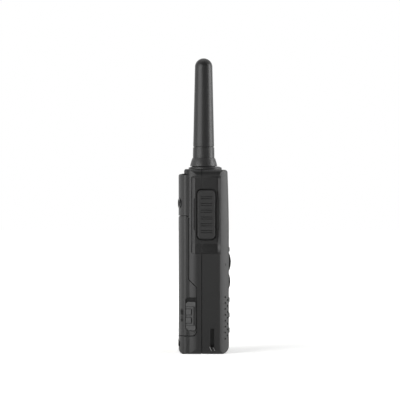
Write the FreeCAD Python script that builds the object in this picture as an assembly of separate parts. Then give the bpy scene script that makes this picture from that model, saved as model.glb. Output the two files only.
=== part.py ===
import FreeCAD
import Part
import math
import os

# Hand-held two-way radio with a stub antenna, a side talk key and a latched battery pack.
# Millimetres. The origin is the middle of the flat foot, +Z runs up along the antenna,
# -Y is the front with display, keys and speaker, and the talk key is on the -X side.

Vector = FreeCAD.Vector

# Body
BODY_WIDTH = 55.0
BODY_HEIGHT = 120.0
HALF_WIDTH = BODY_WIDTH / 2
FRONT_Y = -16.4
BACK_Y = 16.35
SIDE_FLAT_FRONT_Y = -10.4
SIDE_FLAT_BACK_Y = 4.0
FRONT_FLAT_HALF = 21.5
BACK_FLAT_HALF = 16.1
EDGE_RADIUS = 4.0

# Split between the two shells, and the cavity inside them
FRONT_SEAM_Y = 1.0
REAR_SEAM_Y = 1.5
CAVITY_HALF = 25.3
CAVITY_FRONT_Y = -13.9
CAVITY_BACK_Y = 14.2
CAVITY_BOTTOM_Z = 2.2
CAVITY_TOP_Z = 117.6

# Talk key, its hand recess and its opening
RECESS_Y = (-11.4, 8.2)
RECESS_Z = (65.1, 115.4)
RECESS_FLOOR_Y = (-9.1, 5.6)
RECESS_FLOOR_Z = (71.5, 114.0)
RECESS_FLOOR_X = (-25.9, -26.45, -25.4)
RECESS_BACKING_X = -23.8
RECESS_GROOVE = 0.5
NOTCH_Z = (80.3, 100.9)
TALK_KEY_Y = (-7.5, 4.06)
TALK_KEY_Z = (74.5, 106.5)
TALK_KEY_FACE_X = -27.1
TALK_KEY_GAP = 0.7
TALK_KEY_TRAVEL = 1.0
TALK_SPACE_X = -21.2

# Battery pack and its bay
PACK_TOP_Z = 89.8
PACK_BOTTOM_Z = 11.6
PACK_GAP = 0.3
PACK_BOTTOM_GAP = 0.45
PACK_BACK_SEAM_Y = 9.7
PACK_CHEEK_Y = 4.3
BAY_HALF = 19.85
BAY_FLOOR_Y = 2.8
BAY_Z = (12.85, 88.8)
BLOCK_HALF = 19.5
BLOCK_Y = 3.2
BLOCK_Z = (13.2, 88.4)

# Pack latches
LATCH_POCKET_Y = (4.75, 11.9)
LATCH_POCKET_Z = (15.1, 36.8)
LATCH_POCKET_X = 23.9
LATCH_Y = (5.3, 11.6)
LATCH_Z = (15.4, 34.0)
LATCH_TRAVEL = 2.5

# Antenna, on its own axis
ANTENNA_X = -13.0
ANTENNA_TOP_Z = 192.4
ANTENNA_TIP_RADIUS = 5.7
ANTENNA_BASE_RADIUS = 6.95
SKIRT_BOTTOM_Z = 122.0
SKIRT_TOP_Z = 127.2
FERRULE_TOP_Z = 134.2
STUD_RADIUS = 2.5
BUSH_BORE_RADIUS = 2.58
BUSH_RADIUS = 4.5

# Top deck
DECK_TOP_Z = 121.7
DECK_RIM_Z = 121.0
DECK_SLOPE = 1.6
DECK_X = (-24.4, 23.4)
DECK_Y = (-11.8, 9.8)
KNOB_X = 12.6
KNOB_RADIUS = 6.2
KNOB_Z = (122.0, 134.6)
SHAFT_RADIUS = 3.0
BUTTON_X = 1.1
BUTTON_RADIUS = 3.5
BUTTON_TOP_Z = 123.4

# Front face
DISPLAY_HALF = 20.0
DISPLAY_Z = (75.5, 110.5)
DISPLAY_SEAT_Y = -14.7
BEZEL_HALF = 20.6
BEZEL_Z = (40.9, 70.0)
BEZEL_SEAT_Y = -15.3
KEY_HALF = 19.0
UPPER_KEYS_Z = (53.9, 65.3)
LOWER_KEYS_Z = (42.5, 51.6)
KEY_CLEARANCE = 0.3
UPPER_KEY_RISE = 1.25
LOWER_KEY_RISE = 0.9
KEY_BACK_Y = -13.3
SPEAKER_Z = 23.5
SPEAKER_RADIUS = 16.6
HOLE_RADIUS = 0.8
HOLE_PITCH_Z = 3.84
HOLE_FIRST_Z = 10.1
HOLE_ROWS = 8
SLOT_X = (9.4, 20.4)
DIMPLE_RADIUS = 0.7
DIMPLE_DEPTH = 0.9

# Fastening points
CLIP_Z = 97.8
CLIP_X = 19.6
CLIP_TILT = 13.0
CLIP_HOLE_RADIUS = 1.25
# X, Z and the level of the head seat of the screws under the pack and of those in the foot
PACK_SCREWS = (22.2, 58.0, 8.0)
FOOT_SCREWS = (19.0, 6.5, 12.5)
SCREW_RADIUS = 1.1
BOSS_RADIUS = 2.3
CLIP_INSERT_RADIUS = 3.25
CLIP_INSERT_LENGTH = 5.5
CLIP_FACE_Y = 15.8

# Contacts, accessory cover and cells
CONTACT_PLACES = (-8.0, 0.0, 8.0)
COVER_HINGE_X = 26.7
COVER_HINGE_Z = 78.4
CELL_SIDES = (-1, 1)
CELL_X = (0.4, 17.6)
CELL_Y = (5.2, 14.0)
CELL_Z = (16.5, 77.0)


def box(x, y, z):
    """Box between two limits along each axis."""
    return Part.makeBox(x[1] - x[0], y[1] - y[0], z[1] - z[0], Vector(x[0], y[0], z[0]))


def prism(sides, radius, start, end):
    """Bar of regular section between two points that differ in X and Y alone or in Z alone."""
    run = Vector(*end) - Vector(*start)
    section = Part.makePolygon([
        Vector(radius * math.cos(2 * math.pi * n / sides), radius * math.sin(2 * math.pi * n / sides), 0)
        for n in range(sides + 1)])
    bar = Part.Face(section).extrude(Vector(0, 0, run.Length))
    bar.Placement = FreeCAD.Placement(Vector(*start), FreeCAD.Rotation(Vector(0, 0, 1), run))
    return bar


def rod(radius, start, end):
    """Round rod between two points."""
    run = Vector(*end) - Vector(*start)
    return Part.makeCylinder(radius, run.Length, Vector(*start), run)


def outline(start, steps, place):
    """Face whose edge is lines, of one point each, and arcs, of a middle and an end point."""
    edges = []
    here = place(*start)
    for step in steps:
        there = place(*step[-1])
        if len(step) == 1:
            edges.append(Part.LineSegment(here, there).toShape())
        else:
            edges.append(Part.Arc(here, place(*step[0]), there).toShape())
        here = there
    return Part.Face(Part.Wire(edges))


def both_sides(start, steps):
    """Steps of the +X half, followed by their mirror image back to the start."""
    corners = [start] + [step[-1] for step in steps]
    back = []
    for number in reversed(range(len(steps))):
        points = steps[number][:-1] + [corners[number]]
        back.append([(-u, v) for u, v in points])
    return steps + back


def rounded_rectangle(u, v, radius, place):
    """Face between limits, with its four corners rounded."""
    nick = radius * (1 - math.sqrt(0.5))
    return outline((u[0] + radius, v[0]), [
        [(u[1] - radius, v[0])],
        [(u[1] - nick, v[0] + nick), (u[1], v[0] + radius)],
        [(u[1], v[1] - radius)],
        [(u[1] - nick, v[1] - nick), (u[1] - radius, v[1])],
        [(u[0] + radius, v[1])],
        [(u[0] + nick, v[1] - nick), (u[0], v[1] - radius)],
        [(u[0], v[0] + radius)],
        [(u[0] + nick, v[0] + nick), (u[0] + radius, v[0])],
    ], place)


def rounded_block(x, y, z, radius, along):
    """Block between limits, with the four edges that run along one axis rounded."""
    if along == "x":
        face = rounded_rectangle(y, z, radius, lambda u, v: Vector(x[0], u, v))
        return face.extrude(Vector(x[1] - x[0], 0, 0))
    if along == "y":
        face = rounded_rectangle(x, z, radius, lambda u, v: Vector(u, y[0], v))
        return face.extrude(Vector(0, y[1] - y[0], 0))
    face = rounded_rectangle(x, y, radius, lambda u, v: Vector(u, v, z[0]))
    return face.extrude(Vector(0, 0, z[1] - z[0]))


def grown(limits, amount):
    """The same limits, moved apart by an amount at each end."""
    return (limits[0] - amount, limits[1] + amount)


def chamfered(shape, axis, level, size):
    """Shape with the edges of its flat face at one level along an axis chamfered."""
    rim = []
    for edge in shape.Edges:
        bounds = edge.BoundBox
        low = {"x": bounds.XMin, "y": bounds.YMin, "z": bounds.ZMin}[axis]
        high = {"x": bounds.XMax, "y": bounds.YMax, "z": bounds.ZMax}[axis]
        if abs(low - level) < 1e-4 and abs(high - level) < 1e-4:
            rim.append(edge)
    return shape.makeChamfer(size, rim)


def mirrored(shape):
    """Mirror image on the other side of the middle plane."""
    return shape.mirror(Vector(0, 0, 0), Vector(1, 0, 0))


def turned_profile(start, steps, x):
    """Solid of revolution about an upright axis at the given X."""
    face = outline(start, steps, lambda radius, z: Vector(x + radius, 0, z))
    return face.revolve(Vector(x, 0, 0), Vector(0, 0, 1), 360)


def plan_face():
    """Section across the body: flat sides, canted front corners, a draughted band behind each
    side and a crowned back that starts with a tight corner."""
    start = (0, FRONT_Y)
    steps = [
        [(FRONT_FLAT_HALF, FRONT_Y)],
        [(24.82, -13.72), (HALF_WIDTH, SIDE_FLAT_FRONT_Y)],
        [(HALF_WIDTH, SIDE_FLAT_BACK_Y)],
        [(HALF_WIDTH - 0.155, 5.61), (HALF_WIDTH - 0.62, 7.2)],
        [(HALF_WIDTH - 1.55, 9.2)],
        [(HALF_WIDTH - 1.8, 11.3)],
        [(25.37, 12.34), (24.65, 13.23)],
        [(20.68, 15.52), (BACK_FLAT_HALF, BACK_Y)],
        [(0, BACK_Y)],
    ]
    return outline(start, both_sides(start, steps), lambda x, y: Vector(x, y, -10))


def side_face():
    """Side outline: front leaning back towards the top, stepped shoulder behind, round foot."""
    return outline((12.8, 0), [
        [(-10.9, 0)],
        [(-15.1, 1.75), (FRONT_Y, 5.2)],
        [(FRONT_Y, 70.0)],
        [(-16.15, 96.0), (-15.5, 117.3)],
        [(-14.95, 118.9), (-13.5, 119.5)],
        [(-10.4, 119.6)],
        [(-6.0, BODY_HEIGHT)],
        [(11.3, BODY_HEIGHT)],
        [(12.3, 119.6), (12.7, 118.7)],
        [(13.3, 117.4), (15.0, 116.75)],
        [(16.0, 116.35), (BACK_Y, 115.4)],
        [(BACK_Y, 3.6)],
        [(15.3, 1.05), (12.8, 0)],
    ], lambda y, z: Vector(-40, y, z))


def body_form():
    """Full outer form that both shells and the battery pack are cut from."""
    form = side_face().extrude(Vector(80, 0, 0))
    form = form.common(rounded_block((-HALF_WIDTH, HALF_WIDTH), (-20, 20), (0, BODY_HEIGHT), EDGE_RADIUS, "y"))
    form = form.common(plan_face().extrude(Vector(0, 0, 140)))
    neck = box((-30, 30), (6, 14), (117.0, 125))
    neck = neck.cut(rounded_block((-HALF_WIDTH, HALF_WIDTH), (-14, 12.75), (116, 126), 6.0, "z"))
    return form.cut(neck).removeSplitter()


def slab(form, y):
    """Slice of the body between two Y limits."""
    return form.common(box((-40, 40), y, (-1, 130)))


def recess_section(z, rear_x, middle_x, front_x):
    """Cross-section of the recess at a height: a small step behind, a floor and a slope in front."""
    corners = [
        (RECESS_Y[1], -26.3),
        (RECESS_Y[1] - 0.65, rear_x),
        (RECESS_FLOOR_Y[1], middle_x),
        (RECESS_FLOOR_Y[0], front_x),
        (RECESS_Y[0], -27.2),
        (RECESS_Y[0], -31.0),
        (RECESS_Y[1], -31.0),
    ]
    points = [Vector(x, y, z) for y, x in corners]
    return Part.makePolygon(points + points[:1])


def hand_recess():
    """Recess round the talk key: small step behind, slope in front, long ramp below."""
    sections = [
        recess_section(RECESS_Z[0], -26.25, -26.85, -27.1),
        recess_section(RECESS_FLOOR_Z[0], *RECESS_FLOOR_X),
        recess_section(RECESS_FLOOR_Z[1], *RECESS_FLOOR_X),
        recess_section(RECESS_Z[1], -26.25, -26.85, -26.9),
    ]
    parts = [Part.makeLoft([lower, upper], True, True) for lower, upper in zip(sections, sections[1:])]
    scoop = parts[0].fuse(parts[1:]).removeSplitter()
    scoop = scoop.common(rounded_block((-32, -24), (RECESS_Y[0] - 0.5, RECESS_Y[1]), RECESS_Z, 1.8, "x"))
    front_groove = box((-28, -24.8), (RECESS_FLOOR_Y[0] - 0.05, RECESS_FLOOR_Y[0] + RECESS_GROOVE), (72.5, 113.2))
    front_notch = rounded_block((-28, -25.0), (-10.1, -8.0), NOTCH_Z, 0.8, "x")
    rear_notch = rounded_block((-28, -26.0), (4.6, 6.4), NOTCH_Z, 0.8, "x")
    return scoop.fuse([front_groove, front_notch, rear_notch])


def talk_key_opening():
    """Opening in the recess floor that the talk key moves in."""
    return rounded_block((-28, TALK_SPACE_X - 1), grown(TALK_KEY_Y, TALK_KEY_GAP),
                         grown(TALK_KEY_Z, TALK_KEY_GAP), 3.2, "x")


def strap_slot():
    """Lanyard slot: in at the side, out at the foot, leaving a bar with a slanting cord groove."""
    width = (-6.9, -4.3)
    side = box((-28, -23.2), width, (4.6, 16.7))
    foot = box((-25.9, -23.2), width, (-1, 5.0))
    groove = box((-28.5, -26.7), (-1.3, 1.3), (-3.6, 0.8))
    groove.Placement = FreeCAD.Placement(Vector(0, -5.6, 5.6), FreeCAD.Rotation(Vector(1, 0, 0), -25))
    return side.fuse([foot, groove])


def accessory_pocket():
    """Shallow seat for the accessory cover and the opening for the contact block."""
    seat = rounded_block((25.7, 28), (-9.0, -0.4), (76.9, 105.3), 1.0, "x")
    window = rounded_block((20, 26), (-7.6, -1.8), (82.0, 103.0), 1.0, "x")
    return seat.fuse(window)


def deck_holes(growth):
    """Round ways through the top for the antenna bush, the knob shaft and the button."""
    bush = rod(BUSH_RADIUS + growth, (ANTENNA_X, 0, 110), (ANTENNA_X, 0, 125))
    shaft = rod(SHAFT_RADIUS + 0.3 + growth, (KNOB_X, 0, 115), (KNOB_X, 0, 125))
    button = rod(BUTTON_RADIUS + 0.3 + growth, (BUTTON_X, 0, 115), (BUTTON_X, 0, 125))
    return [bush, shaft, button]


def front_cavity():
    """Space inside the front shell, kept clear of the recess, strap slot and cover seat."""
    space = rounded_block((-CAVITY_HALF, CAVITY_HALF), (CAVITY_FRONT_Y, 20), (CAVITY_BOTTOM_Z, CAVITY_TOP_Z), 6.0, "z")
    space = space.common(box((-30, 30), (-20, FRONT_SEAM_Y), (0, 120)))
    behind_recess = box((-30, RECESS_BACKING_X), (-14, 3), (62, 119))
    round_slot = box((-30, -22.3), (-8.4, -2.8), (0, 18.5))
    behind_cover = box((24.2, 30), (-10.5, 1.1), (75.5, 107))
    return space.cut([behind_recess, round_slot, behind_cover])


def grille_holes():
    """Sound slots either side of the guard bars, carried on as staggered dimples round each corner."""
    holes = []
    for row in range(HOLE_ROWS):
        z = HOLE_FIRST_Z + row * HOLE_PITCH_Z
        slot = box(SLOT_X, (-20, -13), (z - HOLE_RADIUS, z + HOLE_RADIUS))
        holes.extend([slot, mirrored(slot)])
    for x, y, tilt, first, rows in ((23.0, -15.85, 35, 1.5, HOLE_ROWS - 1), (24.9, -14.2, 45, 1, HOLE_ROWS)):
        outward = (math.sin(math.radians(tilt)), -math.cos(math.radians(tilt)))
        for row in range(rows):
            z = HOLE_FIRST_Z + (first - 1 + row) * HOLE_PITCH_Z
            inner = (x - DIMPLE_DEPTH * outward[0], y - DIMPLE_DEPTH * outward[1], z)
            outer = (x + outward[0], y + outward[1], z)
            dimple = prism(6, DIMPLE_RADIUS, inner, outer)
            holes.extend([dimple, mirrored(dimple)])
    return holes


def front_bosses():
    """Posts inside the front shell that the case screws bite into."""
    posts = []
    for x, z, _ in (PACK_SCREWS, FOOT_SCREWS):
        post = rod(BOSS_RADIUS, (x, CAVITY_FRONT_Y - 0.5, z), (x, FRONT_SEAM_Y, z))
        posts.extend([post, mirrored(post)])
    return posts


def screw_holes():
    """Clearance for the case screws and their sunk heads."""
    holes = []
    for x, z, seat in (PACK_SCREWS, FOOT_SCREWS):
        hole = rod(SCREW_RADIUS + 0.05, (x, -6.2, z), (x, 18, z)).fuse(rod(2.2, (x, seat, z), (x, 18, z)))
        holes.extend([hole, mirrored(hole)])
    return holes


def key_openings():
    """One opening for each row of front keys."""
    openings = []
    for rows in (UPPER_KEYS_Z, LOWER_KEYS_Z):
        openings.append(rounded_block(grown((-KEY_HALF, KEY_HALF), KEY_CLEARANCE), (-20, -13),
                                      grown(rows, KEY_CLEARANCE), 2.4, "y"))
    return openings


def front_housing(form):
    """Front shell with display seat, key openings, sound holes and the talk key side."""
    shell = slab(form, (-20, FRONT_SEAM_Y)).cut(front_cavity())
    shell = shell.fuse(front_bosses())
    display_seat = rounded_block((-DISPLAY_HALF, DISPLAY_HALF), (-20, DISPLAY_SEAT_Y), DISPLAY_Z, 2.5, "y")
    display_view = rounded_block((-17.5, 17.5), (-20, -13), (79, 107.5), 1.0, "y")
    bezel_seat = rounded_block((-BEZEL_HALF, BEZEL_HALF), (-20, BEZEL_SEAT_Y), BEZEL_Z, 3.0, "y")
    voice_hole = rod(0.6, (15.5, -20, 38.7), (15.5, -13, 38.7))
    cuts = [display_seat, display_view, bezel_seat, voice_hole, hand_recess(), talk_key_opening(), strap_slot()]
    cuts += key_openings() + grille_holes() + screw_holes() + deck_holes(0) + [accessory_pocket()]
    return shell.cut(cuts)


def pack_side_face(gap, bottom_gap, x):
    """Side outline of the battery pack, drawn back from its bay by the gaps."""
    top = PACK_TOP_Z - gap
    bottom = PACK_BOTTOM_Z + bottom_gap
    upper = PACK_BACK_SEAM_Y + gap
    cheek = PACK_CHEEK_Y + gap
    return outline((30, top), [
        [(upper + 1.6, top)],
        [(upper + 0.47, top - 0.47), (upper, top - 1.6)],
        [(upper, 48.7 - gap)],
        [(cheek + 0.8, 44.1 - gap)],
        [(cheek + 0.2, 43.3 - gap), (cheek, 42.2 - gap)],
        [(cheek, bottom + 3.2)],
        [(cheek + 0.94, bottom + 0.94), (cheek + 3.2, bottom)],
        [(30, bottom)],
        [(30, top)],
    ], lambda y, z: Vector(x, y, z))


def rear_housing(form):
    """Rear shell: upper back with the clip screws, open battery bay, closed foot."""
    shell = slab(form, (REAR_SEAM_Y, 20))
    bay = pack_side_face(0, 0, -40).extrude(Vector(80, 0, 0))
    pocket = rounded_block((-BAY_HALF, BAY_HALF), (BAY_FLOOR_Y, 20), BAY_Z, 2.2, "y")
    upper_space = rounded_block((-23.4, 23.4), (-20, CAVITY_BACK_Y), (92.4, 114.8), 7.0, "z")
    upper_space = upper_space.common(box((-23.4, 23.4), (1, 20), (92.4, 114.8)))
    talk_space = box((RECESS_BACKING_X, TALK_SPACE_X), (1, 6.8), (72.2, 108.8))
    deck_space = box((-6.5, 20.0), (1, 6.5), (112.0, CAVITY_TOP_Z))
    shell = shell.cut([bay, pocket, upper_space, talk_space, deck_space])
    shadow_gap = outline((9.9, 116.2), [
        [(14.4, 115.9)],
        [(12.0, 117.5)],
        [(9.9, 116.2)],
    ], lambda y, z: Vector(-30, y, z)).extrude(Vector(60, 0, 0))
    shadow_gap = shadow_gap.cut(box((-24.3, 24.3), (0, 20), (100, 120)))
    cuts = [hand_recess(), talk_key_opening(), shadow_gap] + screw_holes() + deck_holes(0)
    for side in (-1, 1):
        cuts.append(clip_rod(side, CLIP_INSERT_RADIUS, -CLIP_INSERT_LENGTH, 3))
    cuts.extend(contact_ways())
    return shell.cut(cuts)


def clip_point(side, along):
    """Point on a clip screw's axis, at a distance outwards from the back face."""
    tilt = math.radians(CLIP_TILT)
    return (side * (CLIP_X + along * math.sin(tilt)), CLIP_FACE_Y + along * math.cos(tilt), CLIP_Z)


def clip_rod(side, radius, inner, outer):
    """Rod on a clip screw's axis between two distances from the back face."""
    return rod(radius, clip_point(side, inner), clip_point(side, outer))


def clip_inserts():
    """Pressed-in threaded bushes with a raised collar for the belt clip's screws."""
    bushes = []
    for side in (-1, 1):
        bush = clip_rod(side, CLIP_INSERT_RADIUS, -CLIP_INSERT_LENGTH, 0.3)
        rim = clip_rod(side, CLIP_INSERT_RADIUS - 0.8, -0.5, 1)
        bore = clip_rod(side, CLIP_HOLE_RADIUS, -CLIP_INSERT_LENGTH + 0.8, 1)
        bushes.append(bush.cut([rim, bore]))
    return Part.makeCompound(bushes)


def contact_ways():
    """Seats in the rear shell for the bay's spring contacts and the charging studs."""
    ways = []
    for x in CONTACT_PLACES:
        ways.append(box((x - 1.0, x + 1.0), (1, BAY_FLOOR_Y + 0.1), (80.0, 85.0)))
        ways.append(rounded_block((x - 1.6, x + 1.6), (14.6, 18), (4.4, 8.9), 1.0, "y"))
    return ways


def battery_springs():
    """Leaf contacts standing in the bay floor."""
    leaves = [box((x - 1.0, x + 1.0), (REAR_SEAM_Y, BAY_FLOOR_Y + 0.25), (80.0, 85.0)) for x in CONTACT_PLACES]
    return Part.makeCompound(leaves)


def charge_contacts():
    """Charging studs on the back of the foot, standing a little proud."""
    studs = [rounded_block((x - 1.6, x + 1.6), (14.6, BACK_Y + 0.25), (4.4, 8.9), 1.0, "y") for x in CONTACT_PLACES]
    return Part.makeCompound(studs)


def housing_seal():
    """Gasket between the shells, sunk a little below the outer surface."""
    y = (FRONT_SEAM_Y, REAR_SEAM_Y)
    ring = rounded_block((-27.1, 27.1), y, (0.4, 119.4), EDGE_RADIUS, "y")
    ring = ring.cut(rounded_block((-CAVITY_HALF, CAVITY_HALF), y, (CAVITY_BOTTOM_Z, CAVITY_TOP_Z), 2.0, "y"))
    floor_strip = box((-CAVITY_HALF, RECESS_BACKING_X), y, (66, 115))
    return ring.cut(hand_recess()).fuse(floor_strip).cut([talk_key_opening()] + deck_holes(0))


def talk_key():
    """Talk key: rounded crown with six pairs of grip grooves and a retaining flange inside."""
    crown = rounded_block((TALK_KEY_FACE_X, RECESS_BACKING_X + 0.1), TALK_KEY_Y, TALK_KEY_Z, 2.6, "x")
    crown = chamfered(crown, "x", TALK_KEY_FACE_X, 0.6)
    grooves = []
    for pair in range(6):
        for half in (-1, 1):
            z = 90.5 + (pair - 2.5) * 4.4 + half * 0.68
            grooves.append(box((TALK_KEY_FACE_X - 1, TALK_KEY_FACE_X + 0.6), (-5.6, 1.9), (z - 0.25, z + 0.25)))
    flange = rounded_block((RECESS_BACKING_X + 0.1, RECESS_BACKING_X + 0.9),
                           grown(TALK_KEY_Y, 1.3), grown(TALK_KEY_Z, 1.3), 3.4, "x")
    return crown.cut(grooves).fuse(flange)


def talk_switch():
    """Dome switch on its small upright board, standing on the main board."""
    board = box((-20.9, -20.1), (-8.0, 0.6), (80, 100))
    dome = rod(2.6, (-20.9, -1.7, 90.5), (-21.6, -1.7, 90.5))
    leg = box((-20.1, -18.0), (-8.0, -6.2), (84, 97))
    return board.fuse([dome, leg])


def main_board():
    """Main circuit board, standing between the shells."""
    return rounded_block((-18.0, 18.0), (-6.2, -5.0), (10.5, 109.5), 1.5, "y")


def shield_cans():
    """Pressed screening cans on the rear of the main board."""
    upper = rounded_block((-15, 15), (-5.0, -2.2), (66, 102), 1.5, "y")
    middle = rounded_block((-15, 6), (-5.0, -2.2), (38, 62), 1.5, "y")
    lower = rounded_block((-11, 15), (-5.0, -3.0), (15, 34), 1.5, "y")
    return Part.makeCompound([upper, middle, lower])


def display_lens(form):
    """Clear cover that follows the leaning front, a hair below it."""
    lens = rounded_block(grown((-DISPLAY_HALF, DISPLAY_HALF), -0.12), (-20, DISPLAY_SEAT_Y),
                         grown(DISPLAY_Z, -0.12), 2.4, "y")
    return lens.common(form.translated(Vector(0, 0.12, 0)))


def display_module():
    """Display panel on its carrier behind the cover, with its stand-offs to the main board."""
    panel = box((-19.0, 19.0), (CAVITY_FRONT_Y, -11.4), (77.0, 109.5))
    feet = [box((x - 1.5, x + 1.5), (-11.4, -6.2), (z - 1.5, z + 1.5)) for x in (-15, 15) for z in (80, 106)]
    return panel.fuse(feet)


def keypad_bezel():
    """Frame round both key rows, with a raised lip above them."""
    plate = rounded_block(grown((-BEZEL_HALF, BEZEL_HALF), -0.12), (FRONT_Y + 0.05, BEZEL_SEAT_Y),
                          grown(BEZEL_Z, -0.12), 2.9, "y")
    lip = rounded_block((-17.6, 17.6), (FRONT_Y - 0.55, FRONT_Y + 0.05), (66.2, 69.2), 1.4, "y")
    lip = chamfered(lip, "y", FRONT_Y - 0.55, 0.35)
    return plate.fuse(lip).cut(key_openings())


def front_key(x, z, proud, ridge):
    """Front key, domed from top to bottom, with a retaining flange and, if wanted, a ridge across it."""
    middle = (z[0] + z[1]) / 2
    edge = FRONT_Y - 0.15
    profile = outline((KEY_BACK_Y, z[0]), [
        [(edge, z[0])],
        [(FRONT_Y - proud, middle), (edge, z[1])],
        [(KEY_BACK_Y, z[1])],
        [(KEY_BACK_Y, z[0])],
    ], lambda y, height: Vector(x[0] - 1, y, height))
    crown = profile.extrude(Vector(x[1] - x[0] + 2, 0, 0))
    crown = crown.common(rounded_block(x, (-20, 0), z, 2.1, "y"))
    flange = box((x[0] + 1, x[1] - 1), (CAVITY_FRONT_Y + 0.1, KEY_BACK_Y), grown(z, 0.9))
    key = crown.fuse(flange)
    if ridge:
        bar = box((x[0] + 3, x[1] - 3), (FRONT_Y - proud - 0.25, FRONT_Y - 0.5), (middle - 0.5, middle + 0.5))
        key = key.fuse(bar)
    return key


def keypad_board():
    """Key board with a dome under each key, on stand-offs from the main board."""
    board = box((-18.0, 18.0), (-12.2, -11.2), (42.2, 69.8))
    domes = [prism(8, 2.2, (x, -12.6, 59.6), (x, -12.2, 59.6)) for x in (-14, 0, 14)]
    domes += [prism(8, 2.2, (x, -12.6, 47.0), (x, -12.2, 47.0)) for x in (-12.8, 0, 12.8)]
    feet = [box((x - 1.5, x + 1.5), (-11.2, -6.2), (z - 1.5, z + 1.5)) for x in (-16, 16) for z in (44, 68)]
    return board.fuse(domes + feet)


def speaker_cloth():
    """Felt disc between the sound holes and the loudspeaker."""
    return rod(16.0, (0, CAVITY_FRONT_Y, SPEAKER_Z), (0, CAVITY_FRONT_Y + 0.4, SPEAKER_Z))


def speaker_driver():
    """Loudspeaker: shallow basket, ring magnet and cone well."""
    place = Vector(0, 0, SPEAKER_Z)
    front = CAVITY_FRONT_Y + 0.4
    face = outline((0, front + 2.2), [
        [(11.0, front + 0.9)],
        [(15.0, front + 0.9)],
        [(15.0, front)],
        [(SPEAKER_RADIUS, front)],
        [(SPEAKER_RADIUS, front + 1.8)],
        [(9.5, front + 4.0)],
        [(9.5, front + 6.4)],
        [(0, front + 6.4)],
        [(0, front + 2.2)],
    ], lambda radius, y: Vector(radius, y, 0))
    return face.revolve(Vector(0, 0, 0), Vector(0, 1, 0), 360).translated(place)


def speaker_guard():
    """Three raised rubber bars across the sound field."""
    bars = []
    for z in (14.4, 24.3, 34.4):
        bar = rounded_block((-6.6, 6.6), (FRONT_Y - 0.7, FRONT_Y), (z - 1.7, z + 1.7), 1.6, "y")
        bars.append(chamfered(bar, "y", FRONT_Y - 0.7, 0.4))
    return Part.makeCompound(bars)


def microphone():
    """Microphone capsule behind the voice hole."""
    return rod(2.4, (15.5, CAVITY_FRONT_Y, 38.7), (15.5, CAVITY_FRONT_Y + 2.2, 38.7))


def top_deck(form):
    """Low oval deck on the top face that carries antenna, button and knob."""
    skirt = rounded_block(DECK_X, DECK_Y, (119.0, DECK_RIM_Z), 10.7, "z")
    lower = rounded_rectangle(DECK_X, DECK_Y, 10.7, lambda x, y: Vector(x, y, DECK_RIM_Z))
    upper = rounded_rectangle(grown(DECK_X, -DECK_SLOPE), grown(DECK_Y, -DECK_SLOPE), 10.7 - DECK_SLOPE,
                              lambda x, y: Vector(x, y, DECK_TOP_Z))
    slope = Part.makeLoft([lower.OuterWire, upper.OuterWire], True, True)
    return skirt.fuse(slope).cut([form] + deck_holes(0))


def status_light():
    """Small light pipe standing on the deck."""
    return rod(1.1, (BUTTON_X, -8.2, DECK_TOP_Z), (BUTTON_X, -8.2, DECK_TOP_Z + 0.3))


def antenna_bush():
    """Threaded bush that the antenna screws into, with its clamping collar below the top wall."""
    bush = rod(BUSH_RADIUS, (ANTENNA_X, 0, 111), (ANTENNA_X, 0, DECK_TOP_Z))
    collar = rod(6.0, (ANTENNA_X, 0, CAVITY_TOP_Z - 1.6), (ANTENNA_X, 0, CAVITY_TOP_Z))
    collar = collar.common(box((-30, 30), (-20, FRONT_SEAM_Y - 0.1), (100, 130)))
    bore = rod(BUSH_BORE_RADIUS, (ANTENNA_X, 0, 112.5), (ANTENNA_X, 0, 125))
    return bush.fuse(collar).cut(bore)


def antenna_seal():
    """Flat sealing ring between the deck and the antenna's skirt."""
    ring = rod(7.6, (ANTENNA_X, 0, DECK_TOP_Z + 0.02), (ANTENNA_X, 0, SKIRT_BOTTOM_Z))
    return ring.cut(rod(3.2, (ANTENNA_X, 0, 120), (ANTENNA_X, 0, 125)))


def antenna_skirt():
    """Bell-shaped foot of the antenna."""
    return turned_profile((2.5, SKIRT_BOTTOM_Z), [
        [(8.85, SKIRT_BOTTOM_Z)],
        [(8.85, SKIRT_BOTTOM_Z + 0.5)],
        [(8.3, 124.6), (7.42, SKIRT_TOP_Z)],
        [(2.5, SKIRT_TOP_Z)],
        [(2.5, SKIRT_BOTTOM_Z)],
    ], ANTENNA_X)


def antenna_ferrule():
    """Smooth collar between the skirt and the sheath."""
    return turned_profile((2.5, SKIRT_TOP_Z), [
        [(7.05, SKIRT_TOP_Z)],
        [(ANTENNA_BASE_RADIUS, FERRULE_TOP_Z)],
        [(2.5, FERRULE_TOP_Z)],
        [(2.5, SKIRT_TOP_Z)],
    ], ANTENNA_X)


def antenna_sheath():
    """Tapered sheath with a round tip, necked where it meets the ferrule."""
    tip_z = ANTENNA_TOP_Z - ANTENNA_TIP_RADIUS
    side = ANTENNA_TIP_RADIUS * math.sqrt(0.5)
    return turned_profile((0, FERRULE_TOP_Z), [
        [(6.45, FERRULE_TOP_Z)],
        [(6.45, FERRULE_TOP_Z + 0.5)],
        [(6.86, FERRULE_TOP_Z + 0.6)],
        [(ANTENNA_TIP_RADIUS, tip_z)],
        [(side, tip_z + side), (0, ANTENNA_TOP_Z)],
        [(0, FERRULE_TOP_Z)],
    ], ANTENNA_X).cut(antenna_core())


def antenna_core():
    """Radiating rod inside the sheath."""
    return rod(1.6, (ANTENNA_X, 0, FERRULE_TOP_Z), (ANTENNA_X, 0, 184))


def antenna_stud():
    """Stud that screws into the bush and carries the core."""
    return rod(STUD_RADIUS, (ANTENNA_X, 0, 113.2), (ANTENNA_X, 0, FERRULE_TOP_Z))


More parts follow.
